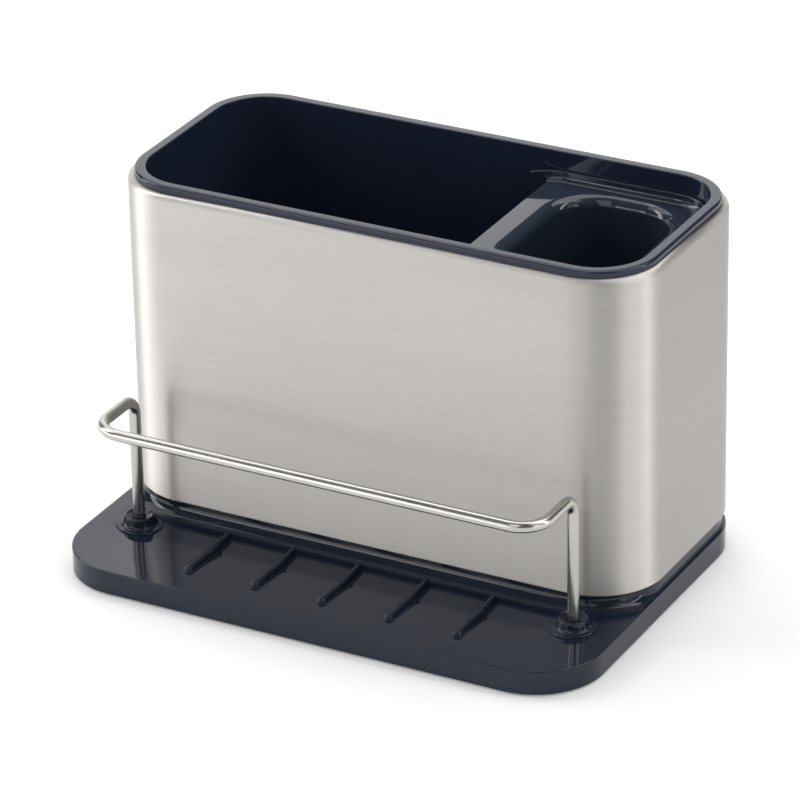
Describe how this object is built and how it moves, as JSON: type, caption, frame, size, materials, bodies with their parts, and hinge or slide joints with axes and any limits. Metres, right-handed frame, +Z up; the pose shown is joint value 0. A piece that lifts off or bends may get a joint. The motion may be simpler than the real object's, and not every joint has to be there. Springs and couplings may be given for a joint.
{
  "type": "sink caddy",
  "caption": "Countertop sink caddy: brushed steel sleeve on a dished draining base with ribs and a wire rail, a lift-out liner with drain slots, and a drop-in cup.",
  "frame": {"origin": "centre of the footprint on the surface the feet stand on", "axes": "+Z up, -Y to the front where the apron and rail are, +X to the viewer's right where the cup sits"},
  "size_m": [0.2294, 0.1612, 0.1517],
  "materials": {
    "tray_plastic": "glossy dark slate",
    "liner_plastic": "glossy dark slate",
    "cup_plastic": "glossy dark slate",
    "brushed_steel": "satin, grain running across",
    "wire_steel": "satin to polished",
    "foot_rubber": "matte"
  },
  "bodies": {
    "base": {"base_tray": "tray_plastic", "foot_pad_1": "foot_rubber", "foot_pad_2": "foot_rubber", "foot_pad_3": "foot_rubber", "foot_pad_4": "foot_rubber"},
    "sleeve": {"steel_sleeve": "brushed_steel"},
    "liner": {"liner": "liner_plastic"},
    "cup": {"cup_insert": "cup_plastic"},
    "rail": {"rail": "wire_steel"}
  },
  "joints": [
    {"name": "sleeve_lift", "type": "slide", "parent": "base", "child": "sleeve", "axis": [0, 0, 1], "range_m": [0, 0.03]},
    {"name": "liner_lift", "type": "slide", "parent": "sleeve", "child": "liner", "axis": [0, 0, 1], "range_m": [0, 0.13]},
    {"name": "cup_lift", "type": "slide", "parent": "liner", "child": "cup", "axis": [0, 0, 1], "range_m": [0, 0.13]},
    {"name": "rail_lift", "type": "slide", "parent": "base", "child": "rail", "axis": [0, 0, 1], "range_m": [0, 0.02]}
  ]
}
